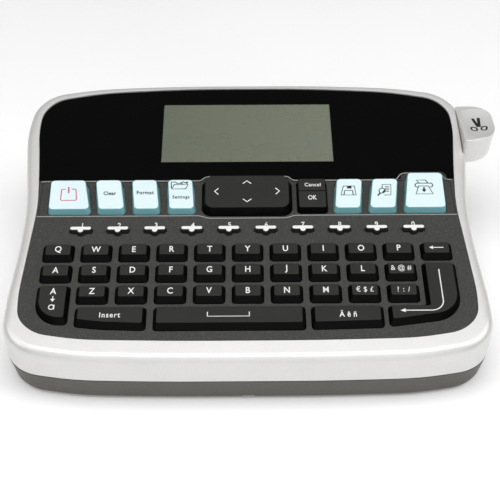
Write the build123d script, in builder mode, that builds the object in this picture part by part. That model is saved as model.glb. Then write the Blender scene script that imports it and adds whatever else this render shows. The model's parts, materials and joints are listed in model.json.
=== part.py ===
from build123d import *
import math
import os

os.makedirs("parts", exist_ok=True)

# ------------------------------------------------------------------------------------
# Driving dimensions, mm. x runs right, y runs back from the front edge, z up from the table.
# ------------------------------------------------------------------------------------
HALF_WIDTH = 104.1  # case at its widest, from the mid-plane
DEPTH = 159.0  # case, front to back
FLOOR_Z = 1.0  # underside of the case
SEAM_Z = 12.0  # joint between the lower case and the top frame
SHOULDER_Z = 20.0  # the walls stand upright above this height
FLOOR_INSET = 2.2  # how far the outline is drawn in at the underside
SEAM_INSET = 0.6  # and at the seam
WALL = 2.5
SEAM_GROOVE = 0.35  # chamfer on both halves, which shows as the seam line

DECK_TILT = 12.73  # slope of the keyboard, degrees
DECK_FRONT_Y = 9.0
DECK_FRONT_Z = 26.8
DECK_LENGTH = 148.8  # keyboard and display together, measured up the slope
DECK_HALF_WIDTH = 98.2
PLATE = 2.6  # thickness of the keyboard plate
PLATE_GAP = 0.15  # round the plates that lie in the frame
RIM_PROUD = 0.5  # the rim stands this far above the plates
RIM_DEEP = 8.0  # depth of the solid rim below the plates
RIM_RADIUS = 4.0
LEDGE = 2.0  # ledge inside the rim that carries the plates

COLUMN_PITCH = 16.36
ROW_PITCH = 11.16
ROW_1 = 45.8  # centre of the top letter row, up the slope
KEY_WELL = (13.8, 9.6)
KEY_GAP = 0.35  # between a key and its opening, on each side
KEY_SIDE_SLOPE = 1.2  # how far the top face is drawn in at the sides
KEY_REAR_SLOPE = 0.8
KEY_FRONT_SLOPE = 2.5
KEY_HEIGHT = 2.2
KEY_RADIUS = 0.9  # corners of the top face, seen from above
KEY_EDGE = 0.3  # rounding of its edge
FLANGE_LIP = 0.5  # the flange under the plate is this much larger than the opening
FLANGE = 0.9
FLANGE_DROP = 0.1  # clearance between the flange and the plate above it

NUMBER_PITCH = 16.27
NUMBER_LINE = 58.6
FUNCTION_PITCH = 16.3
FUNCTION_FIRST = 14.1  # the first function column stands one pitch out from here
FUNCTION_FAN = 0.96  # the columns lean together towards the front by this ratio
OUTER_FAN = 0.977  # and the outermost ones by this
FUNCTION_FRONT = 69.4
FUNCTION_REAR = 86.6
PRINT_REAR = 90.2
FUNCTION_HEIGHT = 2.6
BAND_FRONT = 67.5  # the sunk band that holds the function keys
BAND_REAR = 88.7
BAND_DEPTH = 0.5
BAND_WIDTH = 186.6
BAND_LIP = 0.8  # the plate keeps its full thickness this far in front of the display panel
NAV_BAY = (0, 78.2, 43.0, 25.6)  # centre and size of the bay that the band has round a key
PRINT_BAY = (81.3, 80.6, 21.0, 24.8)

MAT_TOP = -6.2  # all three measured from the top of the plate, square to it
BOARD_TOP = -7.4
BOARD_BOTTOM = -9.0

LCD_SIZE = (80.5, 38.4)
LCD_CENTRE = (0.35, 119.2)

BUTTON_X = 101.8  # side of the cutter button next to the case
BUTTON_REACH = 118.6  # and its outer edge, from the mid-plane
BUTTON_DEEP = 31.0
BUTTON_Y = 128.0
BUTTON_TOP = 56.0
BUTTON_TALL = 14.0
DISH_RADIUS = 42.0
DISH_DEEP = 2.0
DISH_STRIP = 2.2  # flat strip between the dish and the case
POCKET_X = 101.2  # flat bottom of the pocket beside the button
STEM_Y = 120.0
STEM_Z = 46.0
PIVOT = (134.0, 40.0)  # y and z of the blade pivot
LEVER_X = 96.0
LEVER = 1.2
LEVER_BACK = LEVER_X + LEVER + 0.3  # where the wall's own features behind the lever end

TAPE_Y = 126.0  # plane in which the tape leaves
TAPE_Z = 21.0
CASSETTE = (80.0, 50.0, 22.0)
CASSETTE_CENTRE = (44.0, 125.0)
CASSETTE_Z = 10.0
DOOR = (6.0, 86.0, 16.0, 42.0)  # left, right, bottom and top of the rear door
HINGE = (7.6, 157.2)  # x and y of the door's upright hinge line

ROOM = 100.0  # longer than any cut or blank needs to be
CENTRE_X = (BUTTON_REACH - HALF_WIDTH) / 2

# The origin is on the table, under the middle of the whole object.
BASE = Plane(origin=(-CENTRE_X, -DEPTH / 2, 0))
DECK_ORIGIN = BASE.from_local_coords((0, DECK_FRONT_Y, DECK_FRONT_Z))
DECK = Plane(origin=DECK_ORIGIN, x_dir=(1, 0, 0), z_dir=Vector(0, 0, 1).rotate(Axis.X, DECK_TILT))
SIDE = Plane(origin=BASE.origin, x_dir=(0, 1, 0), z_dir=(1, 0, 0))  # y across, z up

# Right-hand half of each outline, as the corners of a polygon whose corners are then rounded
# until the arcs almost meet.
CASE_CORNERS = [
    (35, 0), (72, 1.2), (93, 5.4), (101.6, 14.5), (102.0, 30), (99.6, 60), (99.3, 82),
    (102.6, 108), (104.6, 127), (102.6, 144), (94, 153), (72, 157.2), (35, DEPTH),
]
DECK_CORNERS = [
    (30, 0), (70, 1.0), (88, 4.2), (95.6, 11.5), (96.6, 24), (94.8, 56), (93.8, 73),
    (96.0, 98), (98.6, 120), (98.0, 133), (91.5, 141.4), (70, 146.2), (30, DECK_LENGTH),
]
ARC_SHARE = 0.47  # the share of the shorter run that each corner's arc takes


# ------------------------------------------------------------------------------------
# Shared outlines
# ------------------------------------------------------------------------------------
def rounded(points, radii):
    """A polygon with a rounded corner at each point, as a face."""
    with BuildSketch() as face:
        with BuildLine():
            FilletPolyline(*points, radius=radii, close=True)
        make_face()
    return face.sketch


def corner_radius(before, corner, after):
    """The radius that takes ARC_SHARE of the shorter of the two runs that meet at a corner."""
    run_in = Vector(*corner) - Vector(*before)
    run_out = Vector(*after) - Vector(*corner)
    turn = math.radians(run_in.get_angle(run_out))
    return ARC_SHARE * min(run_in.length, run_out.length) / math.tan(turn / 2)


def closed_curve(half):
    """A smooth closed outline from its right-hand corners and their mirror images, as a face."""
    corners = half + [(-x, y) for x, y in reversed(half)]
    neighbours = zip(corners[-1:] + corners[:-1], corners, corners[1:] + corners[:1])
    return rounded(corners, [corner_radius(*three) for three in neighbours])


def drawn_in(points, half_width, length, inset):
    """The same points, moved inwards by about inset all round."""
    x_scale = 1 - inset / half_width
    y_scale = 1 - 2 * inset / length
    return [(x * x_scale, inset + y * y_scale) for x, y in points]


def case_outline(inset=0.0):
    return closed_curve(drawn_in(CASE_CORNERS, HALF_WIDTH, DEPTH, inset))


def case_shell(levels):
    """The outside of the case between the first and the last of the (height, inset) levels."""
    with BuildPart() as shell:
        for height, inset in levels:
            with BuildSketch(BASE.offset(height)):
                add(case_outline(inset))
        loft(ruled=True)
    return shell.part


def deck_outline(inset=0.0):
    return closed_curve(drawn_in(DECK_CORNERS, DECK_HALF_WIDTH, DECK_LENGTH, inset))


def key_bay(bay, margin, radius):
    """The bay that reaches into the display panel round a tall key, grown by margin."""
    x, s, width, length = bay
    with BuildSketch() as outline:
        with Locations((x, s)):
            RectangleRounded(width + 2 * margin, length + 2 * margin, radius + margin)
    return outline.sketch


def keyboard_region(margin=0.0):
    """The keyboard's share of the deck: all in front of the display, with a bay round two keys."""
    with BuildSketch() as region:
        with Locations((0, (BAND_REAR + margin - ROOM) / 2)):
            Rectangle(2 * ROOM + HALF_WIDTH, BAND_REAR + margin + ROOM)
        add(key_bay(NAV_BAY, margin, 5.0))
        add(key_bay(PRINT_BAY, margin, 3.0))
    return region.sketch


def save(block, name):
    block.part.label = name
    export_step(block.part, f"parts/{name}.step")


# ------------------------------------------------------------------------------------
# Keys. A key is its name, its top outline as corners (x, s, side, end) with side and end
# saying which way the skirt spreads from each corner, and a radius for each corner.
# ------------------------------------------------------------------------------------
def column(index):
    return (index - 5) * COLUMN_PITCH


def row_rear(index):
    """The rear edge of the top faces of letter row 1 to 4, up the slope."""
    return ROW_1 - (index - 1) * ROW_PITCH + KEY_WELL[1] / 2 - KEY_GAP - KEY_REAR_SLOPE


def block_corners(left, right, front, rear):
    return [(left, rear, -1, 1), (right, rear, 1, 1), (right, front, 1, -1), (left, front, -1, -1)]


def letter_key(name, index, row):
    half = KEY_WELL[0] / 2 - KEY_GAP - KEY_SIDE_SLOPE
    front = row_rear(row) - KEY_WELL[1] + 2 * KEY_GAP + KEY_REAR_SLOPE + KEY_FRONT_SLOPE
    x = column(index)
    return name, block_corners(x - half, x + half, front, row_rear(row)), [KEY_RADIUS] * 4


REAR_3 = row_rear(3)
REAR_4 = row_rear(4)
LETTER_KEYS = [letter_key(f"key_{c}", i, 1) for i, c in enumerate("qwertyuiop")]
LETTER_KEYS += [letter_key("key_backspace", 10, 1)]
LETTER_KEYS += [letter_key(f"key_{c}", i, 2) for i, c in enumerate("asdfghjkl")]
LETTER_KEYS += [letter_key(f"key_{c}", i + 1, 3) for i, c in enumerate("zxcvbnm")]
LETTER_KEYS += [
    (
        "key_caps",
        [(-87.3, REAR_3, -1, 1), (-76.2, REAR_3, 1, 1), (-76.2, 11.2, 1, -1), (-87.3, 11.2, -1, -1)],
        [KEY_RADIUS, KEY_RADIUS, KEY_RADIUS, 9.0],
    ),
    (
        "key_insert",
        [
            (-70.5, REAR_4, -1, 1), (-43.7, REAR_4, 1, 1), (-43.7, 8.1, 1, -1),
            (-60.5, 8.8, 0, -1), (-70.5, 10.2, -1, -1),
        ],
        [KEY_RADIUS, KEY_RADIUS, KEY_RADIUS, 70.0, KEY_RADIUS],
    ),
    ("key_space", block_corners(-37.9, 22.4, 8.0, REAR_4), [KEY_RADIUS] * 4),
    (
        "key_accents",
        [(27.6, REAR_4, -1, 1), (54.8, REAR_4, 1, 1), (54.8, 8.9, 1, -1), (27.6, 8.1, -1, -1)],
        [KEY_RADIUS] * 4,
    ),
    (
        "key_enter",
        [
            (76.0, row_rear(2), -1, 1), (87.6, row_rear(2), 1, 1), (87.6, 13.7, 1, -1),
            (59.7, 9.3, -1, -1), (59.7, REAR_4, -1, 1), (76.0, REAR_4, -1, 1),
        ],
        [KEY_RADIUS, KEY_RADIUS, 10.5, KEY_RADIUS, KEY_RADIUS, KEY_RADIUS],
    ),
]
SYMBOL_KEYS = [letter_key("ampersand", 9, 2), letter_key("currency", 8, 3), letter_key("marks", 9, 3)]


def skirt(corners, side, rear, front):
    """The corners moved out by the skirt's slope at the sides, rear and front."""
    return [(x + side * a, s + (rear if b > 0 else -front)) for x, s, a, b in corners]


def grow(corners, margin):
    """The outline at plate level, grown by margin on every side."""
    spread = KEY_SIDE_SLOPE + margin
    return skirt(corners, spread, KEY_REAR_SLOPE + margin, KEY_FRONT_SLOPE + margin)


def skirt_radii(radii, margin):
    """The corner radii at plate level, where a wide corner opens out with the skirt."""
    return [1.15 * r + 0.35 + margin for r in radii]


def key_solid(corners, radii):
    """One key: a sloping cap, an upright shank through the plate and a flange under it."""
    wide = skirt_radii(radii, 0)
    with BuildPart() as key:
        with BuildSketch(DECK):
            add(rounded(grow(corners, 0), wide))
        with BuildSketch(DECK.offset(KEY_HEIGHT)):
            add(rounded([(x, s) for x, s, a, b in corners], radii))
        loft()
        top = key.faces().sort_by(Axis(DECK.origin, DECK.z_dir))[-1]
        fillet(top.edges(), KEY_EDGE)
        with BuildSketch(DECK):
            add(rounded(grow(corners, 0), wide))
        extrude(amount=-(PLATE + FLANGE_DROP + FLANGE))
        lip = KEY_GAP + FLANGE_LIP
        with BuildSketch(DECK.offset(-(PLATE + FLANGE_DROP))):
            add(rounded(grow(corners, lip), skirt_radii(radii, lip)))
        extrude(amount=-FLANGE)
    return key.part


def function_key(name, place, rear_width, front_width, rear=FUNCTION_REAR, out=0.0, fan=FUNCTION_FAN):
    """A function key place columns from the middle: its name and its top outline's corners."""
    side = 1 if place > 0 else -1
    x_rear = side * (FUNCTION_FIRST + abs(place) * FUNCTION_PITCH + out)
    x_front = x_rear * fan
    corners = [
        (x_rear - rear_width / 2, rear, -1, 1),
        (x_rear + rear_width / 2, rear, 1, 1),
        (x_front + front_width / 2, FUNCTION_FRONT, 1, -1),
        (x_front - front_width / 2, FUNCTION_FRONT, -1, -1),
    ]
    return name, corners


FUNCTION_KEYS = [
    function_key("key_power", -4, 15.4, 18.2, out=1.9, fan=OUTER_FAN),
    function_key("key_clear", -3, 11.3, 11.4),
    function_key("key_format", -2, 11.0, 11.1),
    function_key("key_settings", -1, 11.0, 11.0),
    function_key("key_save", 2, 11.4, 11.2),
    function_key("key_preview", 3, 11.3, 11.4),
    function_key("key_print", 4, 15.6, 18.2, rear=PRINT_REAR, out=2.2, fan=OUTER_FAN),
]
FUNCTION_SIDE = 0.5
FUNCTION_REAR_SLOPE = 0.3
FUNCTION_FRONT_SLOPE = 1.0
FUNCTION_RADIUS = 1.9
FUNCTION_EDGE = 0.4

NAV_CENTRE = (0, 78.2)
NAV_WELL = (41.0, 22.2)
NAV_TOP = (37.8, 19.2)
NAV_HEIGHT = 3.0
NAV_REAR_SHIFT = 0.9
ROCKER_CENTRE = (29.4, 78.0)
ROCKER_WELL = (14.0, 19.4)
ROCKER_TOP = (12.4, 17.2)
ROCKER_HEIGHT = 2.4
ROCK_GAP = 0.5
ROCK_FLANGE_DROP = 1.2  # a rocking key needs more room under the plate
ROCK_PIN_DEPTH = 3.1  # its pivot pins lie between the plate and the flange
ROCK_PIN_RADIUS = 0.4
ROCK_PIN_REACH = 0.5  # they end this far past the edge of the well


def function_grow(corners, margin):
    spread = FUNCTION_SIDE + margin
    return skirt(corners, spread, FUNCTION_REAR_SLOPE + margin, FUNCTION_FRONT_SLOPE + margin)


def function_solid(corners):
    """One function key: a tall cap with a steep front, a shank and a flange."""
    radii = [FUNCTION_RADIUS] * 4
    with BuildPart() as key:
        with BuildSketch(DECK.offset(-BAND_DEPTH)):
            add(rounded(function_grow(corners, 0), radii))
        with BuildSketch(DECK.offset(FUNCTION_HEIGHT)):
            add(rounded([(x, s) for x, s, a, b in corners], radii))
        loft()
        top = key.faces().sort_by(Axis(DECK.origin, DECK.z_dir))[-1]
        fillet(top.edges(), FUNCTION_EDGE)
        with BuildSketch(DECK.offset(-BAND_DEPTH)):
            add(rounded(function_grow(corners, 0), radii))
        extrude(amount=-(PLATE + FLANGE_DROP + FLANGE - BAND_DEPTH))
        with BuildSketch(DECK.offset(-(PLATE + FLANGE_DROP))):
            add(rounded(function_grow(corners, KEY_GAP + FLANGE_LIP), radii))
        extrude(amount=-FLANGE)
    return key.part


def rocking_key(centre, well, top, height, radius, shift, pin_direction, pin_half):
    """A key that rocks on two pins: its shank has a wider gap and its flange hangs lower."""
    x, s = centre
    base = (well[0] - 2 * ROCK_GAP, well[1] - 2 * ROCK_GAP)
    with BuildPart() as key:
        with BuildSketch(DECK.offset(-BAND_DEPTH)):
            with Locations((x, s)):
                RectangleRounded(*base, radius)
        with BuildSketch(DECK.offset(height)):
            with Locations((x, s + shift)):
                RectangleRounded(*top, radius - 0.6)
        loft()
        face = key.faces().sort_by(Axis(DECK.origin, DECK.z_dir))[-1]
        fillet(face.edges(), FUNCTION_EDGE)
        with BuildSketch(DECK.offset(-BAND_DEPTH)):
            with Locations((x, s)):
                RectangleRounded(*base, radius)
        extrude(amount=-(PLATE + ROCK_FLANGE_DROP + FLANGE - BAND_DEPTH))
        with BuildSketch(DECK.offset(-(PLATE + ROCK_FLANGE_DROP))):
            with Locations((x, s)):
                RectangleRounded(well[0] + 1.0, well[1] + 1.0, radius)
        extrude(amount=-FLANGE)
        pivot = DECK.from_local_coords((x, s, -ROCK_PIN_DEPTH))
        with BuildSketch(Plane(origin=pivot, z_dir=pin_direction)):
            Circle(ROCK_PIN_RADIUS)
        extrude(amount=pin_half + ROCK_PIN_REACH, both=True)
    return key.part


NUMBER_BAR = (9.4, 2.0)
NUMBER_LOBE = 1.35
NUMBER_LOBE_FORWARD = 1.1
NUMBER_GAP = 0.6  # between a bar and its opening


def number_outline(margin):
    """A short bar with a round lobe towards the front."""
    width, depth = (size + 2 * margin for size in NUMBER_BAR)
    with BuildSketch() as outline:
        RectangleRounded(width, depth, depth / 2 - 0.05)
        with Locations((0, -NUMBER_LOBE_FORWARD)):
            Circle(NUMBER_LOBE + margin)
    return outline.sketch


NUMBER_SPOTS = [((i - 4.5) * NUMBER_PITCH, NUMBER_LINE) for i in range(10)]

for name, corners, radii in LETTER_KEYS:
    with BuildPart() as key:
        add(key_solid(corners, radii))
    save(key, name)

with BuildPart() as symbol_keys:
    for name, corners, radii in SYMBOL_KEYS:
        add(key_solid(corners, radii))
save(symbol_keys, "symbol_keys")

for name, corners in FUNCTION_KEYS:
    with BuildPart() as key:
        add(function_solid(corners))
    save(key, name)

with BuildPart() as navigation_pad:
    pad = (NAV_CENTRE, NAV_WELL, NAV_TOP, NAV_HEIGHT, 4.4, NAV_REAR_SHIFT)
    add(rocking_key(*pad, pin_direction=DECK.y_dir, pin_half=NAV_WELL[1] / 2))
save(navigation_pad, "navigation_pad")

# The cancel and OK key is one rocker with a groove across its middle.
with BuildPart() as cancel_ok_key:
    rocker = (ROCKER_CENTRE, ROCKER_WELL, ROCKER_TOP, ROCKER_HEIGHT, 1.6, 0.5)
    add(rocking_key(*rocker, pin_direction=DECK.x_dir, pin_half=ROCKER_WELL[0] / 2))
    with BuildSketch(DECK.offset(ROCKER_HEIGHT)):
        with Locations((ROCKER_CENTRE[0], ROCKER_CENTRE[1] + 1.6)):
            Rectangle(ROCKER_WELL[0], 0.5)
    extrude(amount=-0.4, mode=Mode.SUBTRACT)
save(cancel_ok_key, "cancel_ok_key")

# The ten number keys are one rubber strip with a raised bar for each digit.
with BuildPart() as number_keys:
    with BuildSketch(DECK.offset(-(PLATE + FLANGE_DROP))):
        with Locations((0, NUMBER_LINE - 0.6)):
            RectangleRounded(9 * NUMBER_PITCH + 14, 7.2, 1.5)
    extrude(amount=-FLANGE)
    with BuildSketch(DECK.offset(-(PLATE + FLANGE_DROP))):
        with Locations(*NUMBER_SPOTS):
            add(number_outline(0))
    extrude(amount=PLATE + FLANGE_DROP + KEY_HEIGHT)
    caps = number_keys.faces().filter_by(DECK).group_by(Axis(DECK.origin, DECK.z_dir))[-1]
    fillet(caps.edges(), KEY_EDGE)
save(number_keys, "number_keys")

# ------------------------------------------------------------------------------------
# Keyboard plate: openings for every key and a sunk band behind the number row
# ------------------------------------------------------------------------------------
with BuildPart() as keyboard_deck:
    with BuildSketch(DECK):
        add(deck_outline(PLATE_GAP))
        add(keyboard_region(), mode=Mode.INTERSECT)
    extrude(amount=-PLATE)
    with BuildSketch(DECK):
        with Locations((0, (BAND_FRONT + BAND_REAR - BAND_LIP) / 2)):
            Rectangle(BAND_WIDTH, BAND_REAR - BAND_LIP - BAND_FRONT)
        add(key_bay(NAV_BAY, -BAND_LIP / 2, 5.0))
        add(key_bay(PRINT_BAY, -BAND_LIP / 2, 3.0))
    extrude(amount=-BAND_DEPTH, mode=Mode.SUBTRACT)
    with BuildSketch(DECK):
        for name, corners, radii in LETTER_KEYS + SYMBOL_KEYS:
            add(rounded(grow(corners, KEY_GAP), skirt_radii(radii, KEY_GAP)))
        for name, corners in FUNCTION_KEYS:
            add(rounded(function_grow(corners, KEY_GAP), [FUNCTION_RADIUS + 0.3] * 4))
        with Locations(NAV_CENTRE):
            RectangleRounded(*NAV_WELL, 4.8)
        with Locations(ROCKER_CENTRE):
            RectangleRounded(*ROCKER_WELL, 2.0)
        with Locations(*NUMBER_SPOTS):
            add(number_outline(NUMBER_GAP))
    extrude(amount=-PLATE, mode=Mode.SUBTRACT)
save(keyboard_deck, "keyboard_deck")

# Black display panel, with the opening for the liquid crystal display
with BuildPart() as display_window:
    with BuildSketch(DECK):
        add(deck_outline(PLATE_GAP))
        add(keyboard_region(PLATE_GAP), mode=Mode.SUBTRACT)
        with Locations(LCD_CENTRE):
            Rectangle(*LCD_SIZE, mode=Mode.SUBTRACT)
    extrude(amount=-PLATE)
save(display_window, "display_window")

with BuildPart() as lcd_module:
    with BuildSketch(DECK.offset(-0.35)):
        with Locations(LCD_CENTRE):
            Rectangle(LCD_SIZE[0] - 0.3, LCD_SIZE[1] - 0.3)
    extrude(amount=-2.6)
    with BuildSketch(DECK.offset(-PLATE - 0.2)):
        with Locations(LCD_CENTRE):
            RectangleRounded(LCD_SIZE[0] + 10, LCD_SIZE[1] + 6, 1.5)
    extrude(amount=-3.6)
save(lcd_module, "lcd_module")

# ------------------------------------------------------------------------------------
# Rubber mat with a dome under each key, and the circuit board under the mat
# ------------------------------------------------------------------------------------
SHEET_CENTRE = (0, 47.5)
SHEET = (176, 82)
SHEET_RADIUS = 12
DOME_RADIUS = 2.8
DOME_TALL = 0.4
DOME_SPOTS = [(column(i), ROW_1) for i in range(11)]
DOME_SPOTS += [(column(i), ROW_1 - ROW_PITCH) for i in range(11)]
DOME_SPOTS += [(column(i), ROW_1 - 2 * ROW_PITCH) for i in range(10)]
DOME_SPOTS += [(column(i), ROW_1 - 3 * ROW_PITCH) for i in (1, 2, 4, 7, 8)]
FUNCTION_MIDDLE = (FUNCTION_FRONT + FUNCTION_REAR) / 2
DOME_SPOTS += [
    (FUNCTION_PITCH * place, FUNCTION_MIDDLE)
    for place in (-5, -3.9, -2.9, -1.9, -0.8, 0, 0.8, 1.8, 2.8, 3.8, 4.9)
]

with BuildPart() as key_mat:
    with BuildSketch(DECK.offset(BOARD_TOP)):
        with Locations(SHEET_CENTRE):
            RectangleRounded(*SHEET, SHEET_RADIUS)
    extrude(amount=MAT_TOP - BOARD_TOP - DOME_TALL)
    with BuildSketch(DECK.offset(MAT_TOP - DOME_TALL)):
        with Locations(*DOME_SPOTS):
            Circle(DOME_RADIUS)
    extrude(amount=DOME_TALL, taper=30)
save(key_mat, "key_mat")

# The board carries a processor, a row of drivers and the display's connector underneath.
with BuildPart() as main_board:
    with BuildSketch(DECK.offset(BOARD_TOP)):
        with Locations(SHEET_CENTRE):
            RectangleRounded(*SHEET, SHEET_RADIUS)
    extrude(amount=BOARD_BOTTOM - BOARD_TOP)
    with BuildSketch(DECK.offset(BOARD_BOTTOM)):
        with Locations((40, 58)):
            Rectangle(14, 14)
        with GridLocations(16, 0, 3, 1):
            with Locations((30, 34)):
                Rectangle(9, 5)
        with Locations((0, 82)):
            Rectangle(46, 5)
    extrude(amount=-1.8)
save(main_board, "main_board")

# ------------------------------------------------------------------------------------
# Top frame: the rim round the deck, with the cutter pocket and the openings in its walls
# ------------------------------------------------------------------------------------
SCREW_SPOTS = [(x, y) for x in (-92, 92) for y in (32, 144.5)]
SCREW_RADIUS = 1.5
SCREW_TIP = 18.0
SCREW_BOSS = 3.5
FRONT_BOSS_TALL = 12.4
REAR_BOSS_TALL = 38.0
GUARD_TOP = 48.0
PIVOT_RADIUS = 1.5
PIVOT_COLLAR = 3.0
HINGE_PIN = 1.0
HINGE_PIN_TALL = 2.0

with BuildPart() as hollow:
    with BuildSketch(BASE.offset(SEAM_Z)):
        add(case_outline(SEAM_INSET + WALL))
    extrude(amount=ROOM)
    split(bisect_by=DECK.offset(-RIM_DEEP), keep=Keep.BOTTOM)

with BuildPart() as frame_blank:
    add(
        case_shell(
            [(SEAM_Z, SEAM_INSET + SEAM_GROOVE), (SEAM_Z + SEAM_GROOVE, SEAM_INSET), (SHOULDER_Z, 0)]
        )
    )
    with BuildSketch(BASE.offset(SHOULDER_Z)):
        add(case_outline())
    extrude(amount=ROOM)
    split(bisect_by=DECK.offset(RIM_PROUD), keep=Keep.BOTTOM)
    rim = frame_blank.faces().sort_by(Axis(DECK.origin, DECK.z_dir))[-1]
    fillet(rim.edges(), RIM_RADIUS)


# A sketch on this plane reads x to the right and z up, and is extruded backwards.
REAR = Plane(origin=BASE.from_local_coords((0, DEPTH - 14, 0)), x_dir=(-1, 0, 0), z_dir=(0, 1, 0))
POCKET = (111.6, 144.4, 33.0)  # front, rear and bottom of the cutter pocket
GUARD = (109.0, 147.0)  # thicker wall behind the pocket, front and rear
GUARD_X = 98.7
SLOT = (STEM_Y, 43.0, 7.0, 10.8)  # y, z, width and height of the slot for the button's stem
EXIT = (TAPE_Y, TAPE_Z, 5.0, 17.0)  # the same for the label's way out

with BuildPart() as top_frame:
    add(frame_blank.part)
    add(hollow.part, mode=Mode.SUBTRACT)
    with BuildSketch(DECK.offset(RIM_PROUD)):
        add(deck_outline())
    extrude(amount=-(RIM_PROUD + PLATE), mode=Mode.SUBTRACT)
    with BuildSketch(DECK.offset(-PLATE)):
        add(deck_outline(LEDGE))
    extrude(amount=-RIM_DEEP, mode=Mode.SUBTRACT)
    # room inside the rim for the slider and the blade's lever
    with BuildSketch(SIDE.offset(LEVER_X - 2.0)):
        with Locations((127.0, 40.0)):
            Rectangle(28, 18)
    extrude(amount=GUARD_X - LEVER_X + 2.0, mode=Mode.SUBTRACT)
    # the wall is thicker behind the cutter pocket, and carries the blade's pin
    with BuildSketch(SIDE.offset(GUARD_X)):
        with Locations(((GUARD[0] + GUARD[1]) / 2, (SEAM_Z + GUARD_TOP) / 2)):
            Rectangle(GUARD[1] - GUARD[0], GUARD_TOP - SEAM_Z)
    extrude(amount=POCKET_X - GUARD_X)
    with BuildSketch(SIDE.offset(POCKET_X)):
        with Locations(((POCKET[0] + POCKET[1]) / 2, POCKET[2] + ROOM / 2)):
            Rectangle(POCKET[1] - POCKET[0], ROOM)
    extrude(amount=ROOM, mode=Mode.SUBTRACT)
    with BuildSketch(SIDE.offset(LEVER_X - 1.0)):
        with Locations(PIVOT):
            Circle(PIVOT_RADIUS)
    extrude(amount=GUARD_X - LEVER_X + 1.5)
    with BuildSketch(SIDE.offset(LEVER_BACK)):
        with Locations(PIVOT):
            Circle(PIVOT_COLLAR)
    extrude(amount=GUARD_X - LEVER_BACK + 0.5)
    # ribs that guide the button's slider
    with BuildSketch(SIDE.offset(LEVER_BACK)):
        with Locations((STEM_Y - 7.4, 43), (STEM_Y + 7.4, 43)):
            Rectangle(1.8, 12)
    extrude(amount=GUARD_X - LEVER_BACK + 0.5)
    # slots through the side wall for the button's stem and for the label
    with BuildSketch(SIDE.offset(LEVER_X)):
        with Locations(SLOT[:2]):
            RectangleRounded(*SLOT[2:], 1.0)
        with Locations(EXIT[:2]):
            RectangleRounded(*EXIT[2:], 1.0)
    extrude(amount=ROOM, mode=Mode.SUBTRACT)
    # opening for the rear door, with a boss at each end of its hinge line
    with BuildSketch(REAR.offset(8.5)):
        with Locations((-HINGE[0], DOOR[2] - HINGE_PIN_TALL), (-HINGE[0], DOOR[3] + HINGE_PIN_TALL)):
            Rectangle(5, 2 * HINGE_PIN_TALL)
    extrude(amount=3)
    with BuildSketch(REAR):
        with Locations((-(DOOR[0] + DOOR[1]) / 2, (DOOR[2] + DOOR[3]) / 2)):
            Rectangle(DOOR[1] - DOOR[0] + 0.6, DOOR[3] - DOOR[2] + 0.6)
    extrude(amount=ROOM, mode=Mode.SUBTRACT)
    with BuildSketch(BASE.offset(DOOR[2] - HINGE_PIN_TALL - 0.3)):
        with Locations(HINGE):
            Circle(HINGE_PIN + 0.05)
    extrude(amount=DOOR[3] - DOOR[2] + 2 * HINGE_PIN_TALL + 0.6, mode=Mode.SUBTRACT)
    # screw posts
    with BuildSketch(BASE.offset(SEAM_Z)):
        with Locations(*SCREW_SPOTS[0::2]):
            Circle(SCREW_BOSS)
    extrude(amount=FRONT_BOSS_TALL)
    with BuildSketch(BASE.offset(SEAM_Z)):
        with Locations(*SCREW_SPOTS[1::2]):
            Circle(SCREW_BOSS)
    extrude(amount=REAR_BOSS_TALL)
    with BuildSketch(BASE.offset(SEAM_Z)):
        with Locations(*SCREW_SPOTS):
            Circle(SCREW_RADIUS + 0.05)
    extrude(amount=SCREW_TIP - SEAM_Z + 1, mode=Mode.SUBTRACT)
save(top_frame, "top_frame")

# Rear door: a piece of the same wall, with a round edge on its hinge line and two pins
with BuildPart() as cassette_door:
    with BuildSketch(BASE.offset(DOOR[2])):
        add(case_outline())
        add(case_outline(WALL), mode=Mode.SUBTRACT)
        with Locations(((HINGE[0] + DOOR[1]) / 2, DEPTH)):
            Rectangle(DOOR[1] - HINGE[0], 30, mode=Mode.INTERSECT)
        with Locations(HINGE):
            Circle(1.5)
    extrude(amount=DOOR[3] - DOOR[2])
    with BuildSketch(BASE.offset(DOOR[2] - HINGE_PIN_TALL)):
        with Locations(HINGE):
            Circle(HINGE_PIN)
    extrude(amount=DOOR[3] - DOOR[2] + 2 * HINGE_PIN_TALL)
    # a scoop for a fingertip at the free edge
    with BuildSketch(BASE.offset(DOOR[2] + 8)):
        with Locations((DOOR[1] - 1.0, DEPTH - 2.5)):
            Circle(4.0)
    extrude(amount=DOOR[3] - DOOR[2] - 16, mode=Mode.SUBTRACT)
save(cassette_door, "cassette_door")

# ------------------------------------------------------------------------------------
# Lower case: a tray with screw wells, board posts, battery and cassette bays, and an inlet
# ------------------------------------------------------------------------------------
FLOOR = 2.0
FOOT_RADIUS = 5.0
FOOT_SINK = 1.0  # each foot sits this deep in the floor, and a peg holds it
FOOT_PEG = 0.9
POST_RADIUS = 2.5
BASE_BOSS = 4.6
SCREW_HEAD_TALL = 2.0
FOOT_SPOTS = [(x, y) for x in (-78, 78) for y in (22, 136)]
SCREW_WELL = 3.2
INLET_X = -58.0
INLET_Z = 7.0
INLET_RADIUS = 2.8
BATTERY = (68.0, 38.0, 11.0)
BATTERY_CENTRE = (-44.0, 60.0)
BAY_WALL = 1.6
BAY_GAP = 0.4
POST_SPOTS = [(x, y) for x in (-84, 0, 84) for y in (20, 84)]

with BuildPart() as posts:
    with BuildSketch(BASE.offset(FLOOR_Z)):
        with Locations(*POST_SPOTS):
            Circle(POST_RADIUS)
    extrude(amount=ROOM)
    split(bisect_by=DECK.offset(BOARD_BOTTOM), keep=Keep.BOTTOM)

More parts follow.
